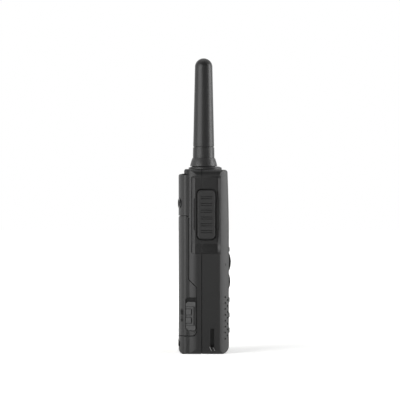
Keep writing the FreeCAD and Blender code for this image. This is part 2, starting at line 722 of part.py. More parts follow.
def volume_knob():
    """Fluted knob with a pointer groove."""
    knob = turned_profile((0, KNOB_Z[0]), [
        [(KNOB_RADIUS, KNOB_Z[0])],
        [(KNOB_RADIUS - 0.35, KNOB_Z[1] - 1.0)],
        [(KNOB_RADIUS - 1.35, KNOB_Z[1])],
        [(0, KNOB_Z[1])],
        [(0, KNOB_Z[0])],
    ], KNOB_X)
    flutes = []
    for number in range(12):
        angle = math.radians(30 * number + 15)
        x = KNOB_X + (KNOB_RADIUS + 0.35) * math.cos(angle)
        y = (KNOB_RADIUS + 0.35) * math.sin(angle)
        flutes.append(rod(0.85, (x, y, KNOB_Z[0] + 1.8), (x, y, KNOB_Z[1] + 1)))
    pointer = box((KNOB_X - 0.4, KNOB_X + 0.4), (-KNOB_RADIUS, -1.5), (KNOB_Z[1] - 0.4, KNOB_Z[1] + 1))
    socket = rod(SHAFT_RADIUS, (KNOB_X, 0, KNOB_Z[0] - 1), (KNOB_X, 0, KNOB_Z[0] + 7))
    return knob.cut(flutes + [pointer, socket])


def volume_shaft():
    """Turning shaft of the volume control, pressed into the knob."""
    return rod(SHAFT_RADIUS, (KNOB_X, 0, 117.8), (KNOB_X, 0, KNOB_Z[0] + 7))


def volume_control():
    """Body of the volume control under the top wall, with its legs to the main board."""
    body = box((KNOB_X - 5.5, KNOB_X + 5.5), (-5.6, 0.8), (111.0, 117.5))
    leg = box((KNOB_X - 4, KNOB_X + 4), (-5.6, -5.0), (109.5, 111.0))
    tail = box((KNOB_X - 4, KNOB_X + 4), (-5.0, -4.2), (106.0, 111.0))
    return body.fuse([leg, tail])


def emergency_button():
    """Round call button with a dished top and a flange under the top wall."""
    button = turned_profile((0, 117.0), [
        [(BUTTON_RADIUS, 117.0)],
        [(BUTTON_RADIUS, BUTTON_TOP_Z - 0.4)],
        [(BUTTON_RADIUS - 0.4, BUTTON_TOP_Z)],
        [(BUTTON_RADIUS - 0.8, BUTTON_TOP_Z)],
        [(0, BUTTON_TOP_Z - 0.4)],
        [(0, 117.0)],
    ], BUTTON_X)
    flange = rod(4.4, (BUTTON_X, 0, 116.2), (BUTTON_X, 0, 117.0))
    return button.fuse(flange)


def accessory_contacts():
    """Contact block behind the accessory cover, with its gold pads standing on it."""
    block = rounded_block((18.0, 24.9), (-7.4, -2.0), (82.2, 102.8), 0.9, "x")
    pads = []
    for number in range(6):
        z = 84.8 + number * 3.08
        pads.append(box((24.9, 25.2), (-6.2, -3.2), (z - 0.8, z + 0.8)))
    return block.fuse(pads)


def accessory_cover():
    """Hinged dust cover, flush with the side, with a barrel at its lower end and a nail nick."""
    plate = rounded_block((25.9, HALF_WIDTH), (-8.7, -0.7), (COVER_HINGE_Z, 105.0), 1.0, "x")
    barrel = rod(0.8, (COVER_HINGE_X, -8.7, COVER_HINGE_Z), (COVER_HINGE_X, -0.7, COVER_HINGE_Z))
    below = box((20, 30), (-10, 1), (70, COVER_HINGE_Z + 0.05))
    nick = rod(1.3, (HALF_WIDTH + 0.6, -6.5, 103.6), (HALF_WIDTH + 0.6, -2.9, 103.6))
    return plate.cut([below, nick]).fuse(barrel)


def case_screws():
    """Four identical screws that pull the shells together."""
    screws = []
    for x, z, seat in (PACK_SCREWS, FOOT_SCREWS):
        screw = rod(SCREW_RADIUS, (x, -6.0, z), (x, seat, z)).fuse(rod(2.0, (x, seat, z), (x, seat + 1.4, z)))
        screw = screw.cut(prism(6, 1.0, (x, seat + 0.6, z), (x, seat + 2, z)))
        screws.extend([screw, mirrored(screw)])
    return Part.makeCompound(screws)


def latch_pocket(side):
    """Recess in the pack's cheek that a latch slides in."""
    y = LATCH_POCKET_Y
    z = LATCH_POCKET_Z
    face = outline((y[0], z[0] + 0.9), [
        [(y[0] + 0.9, z[0])],
        [(y[1] - 1.8, z[0])],
        [(y[1], z[0] + 1.8)],
        [(y[1], z[1] - 1.2)],
        [(y[1] - 1.2, z[1])],
        [(y[0], z[1])],
        [(y[0], z[0] + 0.9)],
    ], lambda u, v: Vector(-30, u, v))
    pocket = face.extrude(Vector(30 - LATCH_POCKET_X, 0, 0))
    return pocket if side < 0 else mirrored(pocket)


def latch_wedge(front_x, rear_x):
    """Everything inside a plane that slopes from the latch's front edge to its rear edge."""
    return outline((-20, LATCH_Y[0]), [
        [(front_x, LATCH_Y[0])],
        [(rear_x, LATCH_Y[1])],
        [(-20, LATCH_Y[1])],
        [(-20, LATCH_Y[0])],
    ], lambda x, y: Vector(x, y, 0)).extrude(Vector(0, 0, 60))


def battery_latch(form, side):
    """Thumb slide of the battery latch: a land at each end, two square pads and an E-shaped rib."""
    y = LATCH_Y
    z = LATCH_Z
    inner = -LATCH_POCKET_X - 0.15
    face = outline((y[0], z[0] + 0.6), [
        [(y[0] + 0.6, z[0])],
        [(y[1] - 1.6, z[0])],
        [(y[1], z[0] + 1.6)],
        [(y[1], z[1] - 1.2)],
        [(y[1] - 1.2, z[1])],
        [(y[0], z[1])],
        [(y[0], z[0] + 0.6)],
    ], lambda u, v: Vector(-30, u, v))
    blank = face.extrude(Vector(30 + inner, 0, 0))
    slide = blank.common(latch_wedge(-27.65, -25.45))
    grooves = blank.cut(latch_wedge(-26.7, -24.7))
    middle = (z[0] + z[1]) / 2
    lands = [box((-30, -20), (y[0], y[1]), (z[1] - 3.1, z[1])), box((-30, -20), (y[0], y[1]), (z[0], z[0] + 3.1))]
    frame = [box((-30, -20), (6.5, 7.4), (middle - 5.9, middle + 5.9))]
    for centre in (middle - 5.5, middle, middle + 5.5):
        frame.append(box((-30, -20), (6.5, y[1]), (centre - 0.5, centre + 0.5)))
    pads = [box((-30, -20), (8.1, y[1]), (centre - 1.7, centre + 1.7)) for centre in (middle - 2.75, middle + 2.75)]
    slide = slide.cut(grooves.cut(lands + frame + pads))
    return slide if side < 0 else mirrored(slide)


def battery_case(form):
    """Battery pack: outer wall flush with the body, cheeks with latch recesses, inner block."""
    pack = form.common(pack_side_face(PACK_GAP, PACK_BOTTOM_GAP, -40).extrude(Vector(80, 0, 0)))
    pack = pack.fuse(rounded_block((-BLOCK_HALF, BLOCK_HALF), (BLOCK_Y, 12), BLOCK_Z, 2.0, "y"))
    edge = 0.8
    lead = outline((BACK_Y - edge, PACK_TOP_Z), [
        [(BACK_Y + 1, PACK_TOP_Z)],
        [(BACK_Y + 1, PACK_TOP_Z - PACK_GAP - edge - 1)],
        [(BACK_Y - edge, PACK_TOP_Z)],
    ], lambda y, z: Vector(-40, y, z)).extrude(Vector(80, 0, 0))
    pads = [box((x - 1.6, x + 1.6), (BLOCK_Y - 1, BLOCK_Y + 0.6), (79.5, 85.5)) for x in CONTACT_PLACES]
    cells = [grown_cell(cell) for cell in CELL_SIDES]
    return pack.cut([lead, latch_pocket(-1), latch_pocket(1)] + pads + cells)


def grown_cell(side):
    """Space for one cell inside the pack."""
    space = rounded_block(CELL_X, CELL_Y, CELL_Z, 2.5, "z")
    return space if side > 0 else mirrored(space)


def battery_cells():
    """Two flat cells filling the pack's inside."""
    return Part.makeCompound([grown_cell(side) for side in CELL_SIDES])


def battery_pads():
    """Gold pads sunk in the pack's inner face, opposite the bay's leaf contacts."""
    pads = [box((x - 1.6, x + 1.6), (BLOCK_Y, BLOCK_Y + 0.6), (79.5, 85.5)) for x in CONTACT_PLACES]
    return Part.makeCompound(pads)


def save(name, shape):
    """Write one piece as a STEP file, after checking that it is sound."""
    solids = len(shape.Solids)
    print(f"{name}: {solids} solid(s), {shape.Volume:.0f} mm3, valid {shape.isValid()}")
    shape.exportStep(os.path.join("parts", name + ".step"))


def build():
    """Make every piece in place and write it."""
    os.makedirs("parts", exist_ok=True)
    form = body_form()
    save("front_housing", front_housing(form))
    save("rear_housing", rear_housing(form))
    save("housing_seal", housing_seal())
    save("top_deck", top_deck(form))
    save("status_light", status_light())
    save("antenna_bush", antenna_bush())
    save("display_lens", display_lens(form))
    save("display_module", display_module())
    save("keypad_bezel", keypad_bezel())
    save("keypad_board", keypad_board())
    save("main_board", main_board())
    save("shield_cans", shield_cans())
    save("speaker_driver", speaker_driver())
    save("speaker_cloth", speaker_cloth())
    save("speaker_guard", speaker_guard())
    save("microphone", microphone())
    save("talk_switch", talk_switch())
    save("volume_control", volume_control())
    save("accessory_contacts", accessory_contacts())
    save("clip_inserts", clip_inserts())
    save("case_screws", case_screws())
    save("battery_springs", battery_springs())
    save("charge_contacts", charge_contacts())
    save("talk_key", talk_key())
    save("emergency_button", emergency_button())
    save("volume_knob", volume_knob())
    save("volume_shaft", volume_shaft())
    save("antenna_seal", antenna_seal())
    save("antenna_skirt", antenna_skirt())
    save("antenna_ferrule", antenna_ferrule())
    save("antenna_sheath", antenna_sheath())
    save("antenna_core", antenna_core())
    save("antenna_stud", antenna_stud())
    save("battery_case", battery_case(form))
    save("battery_cells", battery_cells())
    save("battery_pads", battery_pads())
    save("battery_latch_left", battery_latch(form, -1))
    save("battery_latch_right", battery_latch(form, 1))
    save("accessory_cover", accessory_cover())
    save("select_key_left", front_key((-KEY_HALF, -9.0), UPPER_KEYS_Z, UPPER_KEY_RISE, False))
    save("navigation_key", front_key((-8.4, 8.4), UPPER_KEYS_Z, UPPER_KEY_RISE, True))
    save("select_key_right", front_key((9.0, KEY_HALF), UPPER_KEYS_Z, UPPER_KEY_RISE, False))
    save("function_key_left", front_key((-KEY_HALF, -6.7), LOWER_KEYS_Z, LOWER_KEY_RISE, False))
    save("function_key_middle", front_key((-6.1, 6.1), LOWER_KEYS_Z, LOWER_KEY_RISE, False))
    save("function_key_right", front_key((6.7, KEY_HALF), LOWER_KEYS_Z, LOWER_KEY_RISE, False))


build()
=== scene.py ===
import math

import bmesh
import bpy
from mathutils import Matrix, Vector
from mathutils.bvhtree import BVHTree


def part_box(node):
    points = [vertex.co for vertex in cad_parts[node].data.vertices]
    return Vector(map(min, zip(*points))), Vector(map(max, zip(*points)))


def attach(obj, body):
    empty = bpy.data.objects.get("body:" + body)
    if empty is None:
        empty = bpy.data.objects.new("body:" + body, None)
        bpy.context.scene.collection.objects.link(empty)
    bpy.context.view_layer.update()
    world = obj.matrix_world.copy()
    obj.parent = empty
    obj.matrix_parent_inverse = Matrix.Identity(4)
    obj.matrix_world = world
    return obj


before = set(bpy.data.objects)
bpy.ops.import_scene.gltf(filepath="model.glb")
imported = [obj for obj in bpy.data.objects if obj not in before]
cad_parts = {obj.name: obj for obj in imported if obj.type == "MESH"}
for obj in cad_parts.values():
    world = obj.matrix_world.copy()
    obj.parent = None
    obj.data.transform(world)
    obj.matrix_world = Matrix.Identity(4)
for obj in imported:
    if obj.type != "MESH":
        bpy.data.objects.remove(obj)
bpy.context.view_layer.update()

MM = 0.001

# Camera: a long lens level with the middle of the radio, square to its talk key side. The
# view is 260 mm wide at a plane 20 mm from the radio's middle towards it, 1.5 m away.
view_distance = 1.5
view_width = 0.260
sensor_width = 36
view_middle = Vector((-0.020, 0.00240, 0.0999))
camera_data = bpy.data.cameras.new("studio_camera")
camera_data.sensor_width = sensor_width
camera_data.lens = sensor_width * view_distance / view_width
camera_data.clip_end = 20
camera = bpy.data.objects.new("studio_camera", camera_data)
camera.location = view_middle - Vector((view_distance, 0, 0))
camera.rotation_euler = (math.radians(90), 0, math.radians(-90))
bpy.context.scene.collection.objects.link(camera)
bpy.context.scene.camera = camera
bpy.context.scene.view_settings.view_transform = "Standard"


def colour(hexcode):
    """Turn an sRGB hex colour into the linear RGBA that shaders take."""
    channels = [int(hexcode[i:i + 2], 16) / 255 for i in (1, 3, 5)]
    return [c / 12.92 if c <= 0.04045 else ((c + 0.055) / 1.055) ** 2.4 for c in channels] + [1]


def scaled(tone, factor):
    """Turn an sRGB hex colour into linear RGBA, made darker or paler by a factor."""
    return [c * factor for c in colour(tone)[:3]] + [1]


def add(nodes, kind, values=None, **settings):
    """Add one shader node with its settings, fixed inputs and links."""
    node = nodes.new("ShaderNode" + kind)
    for key, value in settings.items():
        setattr(node, key, value)
    for socket, value in (values or {}).items():
        if isinstance(value, bpy.types.NodeSocket):
            nodes.id_data.links.new(value, node.inputs[socket])
        else:
            node.inputs[socket].default_value = value
    return node


def new_material(name):
    """Start an empty node material; its nodes and its output come back."""
    material = bpy.data.materials.new(name)
    material.use_nodes = True
    material.node_tree.nodes.clear()
    return material, material.node_tree.nodes


# Studio floor: a wide sheet of matt white card. It is lit a shade under white, and the
# small lift seen by the eye alone makes it meet the white surround without an edge.
material, nodes = new_material("matt_white_card")
path = add(nodes, "LightPath")
fibre = add(nodes, "TexNoise", {"Scale": 900.0, "Detail": 3.0})
tone = add(nodes, "MixRGB", {0: fibre.outputs["Fac"], 1: colour("#f4f4f2"), 2: colour("#f8f8f7")})
card = add(nodes, "BsdfDiffuse", {"Color": tone.outputs[0], "Roughness": 0.6})
seen = add(nodes, "Math", {0: path.outputs["Is Camera Ray"], 1: path.outputs["Is Glossy Ray"]},
           operation="MAXIMUM")
seen = add(nodes, "Math", {0: seen.outputs[0], 1: path.outputs["Is Transmission Ray"]}, operation="MAXIMUM")
away = add(nodes, "VectorMath", {0: add(nodes, "TexCoord").outputs["Object"]}, operation="LENGTH")
lift = add(nodes, "MapRange", {"Value": away.outputs["Value"], "From Min": 0.02, "From Max": 0.7,
                               "To Min": 0.5, "To Max": 1.0}, interpolation_type="SMOOTHSTEP")
lift = add(nodes, "Math", {0: seen.outputs[0], 1: lift.outputs["Result"]}, operation="MULTIPLY")
glow = add(nodes, "Emission", {"Color": colour("#ffffff"), "Strength": lift.outputs[0]})
both = add(nodes, "AddShader", {0: card.outputs[0], 1: glow.outputs[0]})
add(nodes, "OutputMaterial", {"Surface": both.outputs[0]})
floor_half = 6
sheet = bmesh.new()
bmesh.ops.create_grid(sheet, x_segments=1, y_segments=1, size=floor_half)
floor_mesh = bpy.data.meshes.new("studio_floor")
sheet.to_mesh(floor_mesh)
floor = bpy.data.objects.new("studio_floor", floor_mesh)
floor_mesh.materials.append(material)
bpy.context.scene.collection.objects.link(floor)

# Studio surround: white wherever it is looked at, a dim even fill where it lights things,
# and dark behind the camera, where the real room is, so that side isn't washed with glare.
world = bpy.data.worlds.new("studio_surround")
bpy.context.scene.world = world
world.use_nodes = True
nodes = world.node_tree.nodes
nodes.clear()
path = add(nodes, "LightPath")
direction = add(nodes, "TexCoord")
split = add(nodes, "SeparateXYZ", {0: direction.outputs["Generated"]})
bright = add(nodes, "MapRange", {"Value": split.outputs["X"], "From Min": -0.9, "From Max": 0.25,
                                 "To Min": 0.04, "To Max": 1.0}, interpolation_type="SMOOTHSTEP")
bright = add(nodes, "Math", {0: bright.outputs["Result"], 1: path.outputs["Is Camera Ray"]},
             operation="MAXIMUM")
seen = add(nodes, "Math", {0: path.outputs["Is Camera Ray"], 1: path.outputs["Is Glossy Ray"]},
           operation="MAXIMUM")
seen = add(nodes, "Math", {0: seen.outputs[0], 1: path.outputs["Is Transmission Ray"]}, operation="MAXIMUM")
fill = add(nodes, "Background", {"Color": colour("#ffffff"), "Strength": 0.17})
white = add(nodes, "Background", {"Color": colour("#ffffff"), "Strength": bright.outputs[0]})
mixed = add(nodes, "MixShader", {0: seen.outputs[0], 1: fill.outputs[0], 2: white.outputs[0]})
add(nodes, "OutputWorld", {"Surface": mixed.outputs[0]})

# Softboxes: one to the left of the camera on the battery side, one square to the front,
# a broad one overhead and a faint one beside the camera. Aimed at the middle of the body.
body_middle = Vector((0, 0, 0.09))
for name, place, width, height, watts in (
        ("softbox_battery_side", (-0.92, 1.02, 0.30), 1.3, 1.0, 18.0),
        ("softbox_front", (-0.05, -1.30, 0.30), 0.8, 1.0, 15.0),
        ("softbox_overhead", (0.30, 0.10, 1.50), 1.0, 1.0, 2.5),
        ("softbox_camera", (-1.60, -0.25, 0.75), 0.6, 0.6, 0.4)):
    lamp_data = bpy.data.lights.new(name, "AREA")
    lamp_data.shape = "RECTANGLE"
    lamp_data.size = width
    lamp_data.size_y = height
    lamp_data.energy = watts
    lamp = bpy.data.objects.new(name, lamp_data)
    lamp.location = place
    aim = body_middle - Vector(place)
    lamp.rotation_euler = aim.to_track_quat("-Z", "Y").to_euler()
    bpy.context.scene.collection.objects.link(lamp)


# Shells, deck, keypad frame and battery case: injection-moulded polycarbonate-ABS with a
# spark-eroded skin. The two shells close on a gasket and four screws; the pack hooks in.
def moulded(name, tone, roughness, grain, depth, mottle=0.06, edge=0.00018, sheen=0.0, level=0.5):
    """Moulded plastic or rubber: fine skin, faint flow mottle, edges rubbed paler, and painted shade
    that darkens the colour in creases, gaps and corners. Grain, depth and edge are in metres."""
    material, nodes = new_material(name)
    place = add(nodes, "TexCoord").outputs["Object"]
    skin = add(nodes, "TexNoise", {"Vector": place, "Scale": 1 / grain, "Detail": 3.0, "Roughness": 0.6})
    flow = add(nodes, "TexNoise", {"Vector": place, "Scale": 90.0, "Detail": 2.0})
    rounded = add(nodes, "Bevel", {"Radius": edge}, samples=6)
    raw = add(nodes, "NewGeometry").outputs["Normal"]
    facing = add(nodes, "VectorMath", {0: rounded.outputs[0], 1: raw}, operation="DOT_PRODUCT")
    rubbed = add(nodes, "MapRange", {"Value": facing.outputs["Value"], "From Min": 0.995, "From Max": 0.85,
                                     "To Min": 0.0, "To Max": 0.12})
    body = add(nodes, "MixRGB", {0: flow.outputs["Fac"], 1: scaled(tone, 1 - mottle),
                                 2: scaled(tone, 1 + mottle)})
    worn_and_shaded = add(nodes, "MixRGB", {0: rubbed.outputs["Result"], 1: body.outputs[0], 2: scaled(tone, 1.7)})
    # Painted shade: ambient occlusion darkens the base colour in creases, gaps and corners, down to 0.3 of
    # it.
    crease_occlusion = add(nodes, "AmbientOcclusion", {"Distance": 2.2 * MM}, samples=6)
    painted_crease_shade = add(nodes, "MapRange", {"Value": crease_occlusion.outputs["AO"], "From Min": 0.35, "From Max": 0.9,
                                    "To Min": 0.3, "To Max": 1.0})
    worn_and_shaded = add(nodes, "VectorMath", {0: worn_and_shaded.outputs[0], "Scale": painted_crease_shade.outputs["Result"]}, operation="SCALE")
    gloss = add(nodes, "MapRange", {"Value": skin.outputs["Fac"], "From Min": 0.3, "From Max": 0.7,
                                    "To Min": roughness - 0.05, "To Max": roughness + 0.05})
    bump = add(nodes, "Bump", {"Height": skin.outputs["Fac"], "Strength": 1.0, "Distance": depth,
                               "Normal": rounded.outputs[0]})
    plastic = add(nodes, "BsdfPrincipled", {
        "Base Color": worn_and_shaded.outputs[0], "Roughness": gloss.outputs["Result"], "Normal": bump.outputs[0],
        "IOR": 1.5, "Specular IOR Level": level, "Sheen Weight": sheen, "Sheen Roughness": 0.4})
    add(nodes, "OutputMaterial", {"Surface": plastic.outputs[0]})
    return material


def finish(material, *names):
    """Give CAD nodes their finish."""
    for name in names:
        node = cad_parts[name]
        node.data.materials.clear()
        node.data.materials.append(material)


shell_plastic = moulded("spark_eroded_pc_abs", "#1b1b1b", 0.42, 0.30 * MM, 0.009 * MM, level=0.4)
finish(shell_plastic, "front_housing", "rear_housing", "top_deck", "keypad_bezel", "battery_case")

# Gasket between the shells, the antenna's sealing ring and the microphone's boot: moulded
# EPDM rubber, matt and almost black, pressed in before the rear shell goes on.
epdm = moulded("epdm_gasket", "#0e0e0e", 0.8, 0.3 * MM, 0.01 * MM)
finish(epdm, "housing_seal", "antenna_seal", "microphone")


# Main board and key board: glass laminate with solder resist over etched copper, green on
# the main board and black behind the keys. The tracks show through as a paler pattern.
def laminate(name, first, second, track):
    """Circuit board laminate under glossy solder resist."""
    material, nodes = new_material(name)
    place = add(nodes, "TexCoord").outputs["Object"]
    tracks = add(nodes, "TexBrick", {
        "Vector": place, "Scale": 420.0, "Mortar Size": 0.05, "Brick Width": 0.9,
        "Color1": colour(first), "Color2": colour(second), "Mortar": colour(track)})
    weave = add(nodes, "TexNoise", {"Vector": place, "Scale": 2500.0, "Detail": 2.0})
    bump = add(nodes, "Bump", {"Height": weave.outputs["Fac"], "Strength": 0.6, "Distance": 0.01 * MM})
    resist = add(nodes, "BsdfPrincipled", {"Base Color": tracks.outputs["Color"], "Roughness": 0.28,
                                           "Normal": bump.outputs[0]})
    add(nodes, "OutputMaterial", {"Surface": resist.outputs[0]})
    return material


finish(laminate("green_resist_on_glass_laminate", "#0d3b22", "#0f4227", "#17583a"), "main_board")
finish(laminate("black_resist_on_glass_laminate", "#101210", "#121412", "#1c1f1c"), "keypad_board")


# Screening cans and knob shaft: pressed or turned mild steel with a dull tin plate. Rolling
# leaves fine lines that stretch the highlights.
def plated(name, tone, roughness, spacing, depth):
    """Metal with a plated skin, finely lined by rolling or turning."""
    material, nodes = new_material(name)
    place = add(nodes, "TexCoord").outputs["Object"]
    stretch = add(nodes, "Mapping", {"Vector": place, "Scale": (1.0, 1.0, 0.12)})
    lines = add(nodes, "TexNoise", {"Vector": stretch.outputs[0], "Scale": 1 / spacing, "Detail": 3.0})
    film = add(nodes, "TexNoise", {"Vector": place, "Scale": 260.0, "Detail": 2.0})
    tint = add(nodes, "MixRGB", {0: film.outputs["Fac"], 1: scaled(tone, 0.85), 2: scaled(tone, 1.12)})
    rough = add(nodes, "MapRange", {"Value": lines.outputs["Fac"], "From Min": 0.3, "From Max": 0.7,
                                    "To Min": roughness - 0.07, "To Max": roughness + 0.07})
    bump = add(nodes, "Bump", {"Height": lines.outputs["Fac"], "Strength": 0.8, "Distance": depth})
    metal = add(nodes, "BsdfPrincipled", {"Base Color": tint.outputs[0], "Metallic": 1.0,
                                          "Roughness": rough.outputs["Result"], "Normal": bump.outputs[0]})
    add(nodes, "OutputMaterial", {"Surface": metal.outputs[0]})
    return material


finish(plated("tin_plated_steel", "#b9bab8", 0.34, 0.15 * MM, 0.004 * MM), "shield_cans", "volume_shaft")

# Belt clip bushes and case screws: steel, black zinc plated, which leaves a dark oily gloss.
finish(plated("black_zinc_plate", "#3a3a3b", 0.30, 0.2 * MM, 0.003 * MM), "clip_inserts", "case_screws")

# Antenna bush, stud and whip: turned brass.
finish(plated("turned_brass", "#c39a4e", 0.26, 0.2 * MM, 0.004 * MM), "antenna_bush", "antenna_stud",
       "antenna_core")

# Pack springs and pack pads: hard gold over nickel, smooth and bright.
finish(plated("hard_gold_plate", "#d8b15c", 0.18, 0.2 * MM, 0.002 * MM), "battery_springs", "battery_pads")

# Charging studs: hard gold on the faces that the charger's pins press, each in a black
# moulded collar that hides its flank.
material, nodes = new_material("gold_face_in_black_collar")
place = add(nodes, "TexCoord").outputs["Object"]
facing = add(nodes, "SeparateXYZ", {0: add(nodes, "NewGeometry").outputs["Normal"]})
front = add(nodes, "Math", {0: facing.outputs["Y"], 1: 0.8}, operation="GREATER_THAN")
scuffs = add(nodes, "TexNoise", {"Vector": place, "Scale": 1800.0, "Detail": 3.0})
polish = add(nodes, "MapRange", {"Value": scuffs.outputs["Fac"], "To Min": 0.14, "To Max": 0.26})
gold = add(nodes, "BsdfPrincipled", {"Base Color": colour("#d8b15c"), "Metallic": 1.0,
                                     "Roughness": polish.outputs["Result"]})
grain = add(nodes, "Bump", {"Height": scuffs.outputs["Fac"], "Strength": 0.5, "Distance": 0.01 * MM})
collar = add(nodes, "BsdfPrincipled", {"Base Color": colour("#272727"), "Roughness": 0.42, "IOR": 1.5,
                                       "Normal": grain.outputs[0]})
both = add(nodes, "MixShader", {0: front.outputs[0], 1: collar.outputs[0], 2: gold.outputs[0]})
add(nodes, "OutputMaterial", {"Surface": both.outputs[0]})
finish(material, "charge_contacts")

# Switch, volume control and display carrier: moulded grey nylon bodies soldered to the board.
finish(moulded("grey_nylon_66", "#4a4b4c", 0.5, 0.35 * MM, 0.008 * MM), "talk_switch", "volume_control",
       "display_module")

# Loudspeaker basket and contact block: glass-filled polyester, matt black.
finish(moulded("glass_filled_pbt", "#191919", 0.6, 0.3 * MM, 0.01 * MM), "speaker_driver",
       "accessory_contacts")

# Sound cloth: needled polyester felt behind the slots. Its fibres give a soft fuzz of light.
material, nodes = new_material("needled_felt")
place = add(nodes, "TexCoord").outputs["Object"]
fibres = add(nodes, "TexNoise", {"Vector": place, "Scale": 3500.0, "Detail": 6.0, "Distortion": 1.5})
shade = add(nodes, "MixRGB", {0: fibres.outputs["Fac"], 1: colour("#080808"), 2: colour("#1c1c1c")})
bump = add(nodes, "Bump", {"Height": fibres.outputs["Fac"], "Strength": 1.0, "Distance": 0.05 * MM})
felt = add(nodes, "BsdfPrincipled", {"Base Color": shade.outputs[0], "Roughness": 0.95,
                                     "Normal": bump.outputs[0], "Sheen Weight": 0.3, "Sheen Roughness": 0.6})
add(nodes, "OutputMaterial", {"Surface": felt.outputs[0]})
finish(material, "speaker_cloth")

# Display: a reflective liquid crystal glass on the grey carrier, seen through a cast acrylic
# cover whose back is screen printed black round the window.
window_half = 16.2 * MM
window_low, window_high = 80.5 * MM, 105.5 * MM
window_mid = (window_low + window_high) / 2
material, nodes = new_material("printed_acrylic_cover")
place = add(nodes, "SeparateXYZ", {0: add(nodes, "TexCoord").outputs["Object"]})
across = add(nodes, "Math", {0: place.outputs["X"]}, operation="ABSOLUTE")
across = add(nodes, "Math", {0: across.outputs[0], 1: window_half}, operation="SUBTRACT")
upward = add(nodes, "Math", {0: place.outputs["Z"], 1: window_mid}, operation="SUBTRACT")
upward = add(nodes, "Math", {0: upward.outputs[0]}, operation="ABSOLUTE")
upward = add(nodes, "Math", {0: upward.outputs[0], 1: (window_high - window_low) / 2}, operation="SUBTRACT")
outside = add(nodes, "Math", {0: across.outputs[0], 1: upward.outputs[0]}, operation="MAXIMUM")
border = add(nodes, "Math", {0: outside.outputs[0], 1: 0.0}, operation="GREATER_THAN")
swirl = add(nodes, "TexNoise", {"Scale": 60.0, "Detail": 1.0})
sheen = add(nodes, "MapRange", {"Value": swirl.outputs["Fac"], "To Min": 0.03, "To Max": 0.08})
clear = add(nodes, "BsdfPrincipled", {"Base Color": colour("#f2f4f3"), "Roughness": 0.0, "IOR": 1.49,
                                      "Transmission Weight": 1.0})
path = add(nodes, "LightPath")
open_to_lamps = add(nodes, "Math", {0: path.outputs["Is Shadow Ray"], 1: path.outputs["Is Diffuse Ray"]},
                    operation="MAXIMUM")
clear = add(nodes, "MixShader", {0: open_to_lamps.outputs[0], 1: clear.outputs[0],
                                 2: add(nodes, "BsdfTransparent").outputs[0]})
black = add(nodes, "BsdfPrincipled", {"Base Color": colour("#08090a"), "Roughness": sheen.outputs["Result"],
                                      "IOR": 1.49})
both = add(nodes, "MixShader", {0: border.outputs[0], 1: clear.outputs[0], 2: black.outputs[0]})
add(nodes, "OutputMaterial", {"Surface": both.outputs[0]})
finish(material, "display_lens")


def piece(name, mesh, material, body):
    """Make a finished piece from a bmesh, give it its material and let it ride on a body."""
    data = bpy.data.meshes.new(name)
    mesh.to_mesh(data)
    mesh.free()
    data.materials.append(material)
    made = bpy.data.objects.new(name, data)
    bpy.context.scene.collection.objects.link(made)
    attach(made, body)
    return made


# Liquid crystal glass: two panes and a polariser, seen as a dull olive-grey sheet.
material, nodes = new_material("polarised_crystal_glass")
place = add(nodes, "TexCoord").outputs["Object"]
cells = add(nodes, "TexChecker", {"Vector": place, "Scale": 1 / (0.36 * MM), "Color1": colour("#707a6b"),
                                  "Color2": colour("#6d7768")})
glass = add(nodes, "BsdfPrincipled", {"Base Color": cells.outputs["Color"], "Roughness": 0.25, "IOR": 1.5})
add(nodes, "OutputMaterial", {"Surface": glass.outputs[0]})
carrier_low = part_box("display_module")[0]
pane_depth = 0.5 * MM
pane_overlap = 1.0 * MM
pane = bmesh.new()
bmesh.ops.create_cube(pane, size=1)
pane_size = (2 * window_half + pane_overlap, pane_depth, window_high - window_low + pane_overlap)
bmesh.ops.scale(pane, vec=pane_size, verts=pane.verts)
bmesh.ops.translate(pane, vec=(0, carrier_low.y - pane_depth / 2, window_mid), verts=pane.verts)
bmesh.ops.bevel(pane, geom=pane.edges[:], offset=0.12 * MM, affect="EDGES", segments=2, profile=0.5,
                material=-1)
crystal_glass = piece("crystal_glass", pane, material, "housing")


# Talk key, front keys, speaker guard and accessory cover: moulded silicone rubber, which
# takes a softer skin than the shells. Each key carries a flange that holds it in its opening.
silicone = moulded("moulded_silicone", "#262626", 0.50, 0.4 * MM, 0.008 * MM, level=0.4)
finish(silicone, "talk_key", "accessory_cover", "speaker_guard", "select_key_left", "navigation_key",
       "select_key_right", "function_key_left", "function_key_middle", "function_key_right")


# Key signs, display signs and scale dots: ink a few hundredths of a millimetre thick, laid
# on its own surface. Each sign is drawn flat, laid down along one direction, then thickened.
def bar(mesh, u, v, width, height, parts=1):
    """Flat bar centred at (u, v)."""
    matrix = Matrix.Translation((u, v, 0)) @ Matrix.Diagonal((width, height, 1, 1))
    bmesh.ops.create_grid(mesh, x_segments=parts, y_segments=parts, size=0.5, matrix=matrix)


def spot(mesh, u, v, radius, corners=16, turn=0.0):
    """Flat disc, or an arrowhead where it has three corners."""
    matrix = Matrix.Translation((u, v, 0)) @ Matrix.Rotation(math.radians(turn), 4, "Z")
    bmesh.ops.create_circle(mesh, cap_ends=True, segments=corners, radius=radius, matrix=matrix)


def bow(mesh, u, v, radius, width, start, sweep):
    """Flat part of a ring."""
    first = math.radians(start)
    ends = [mesh.verts.new((u + r * math.cos(first), v + r * math.sin(first), 0))
            for r in (radius - width / 2, radius + width / 2)]
    line = mesh.edges.new(ends)
    bmesh.ops.spin(mesh, geom=ends + [line], cent=(u, v, 0), axis=(0, 0, 1), angle=math.radians(sweep),
                   steps=12)


OUTSIDE = 0.06
ABOVE = 0.25


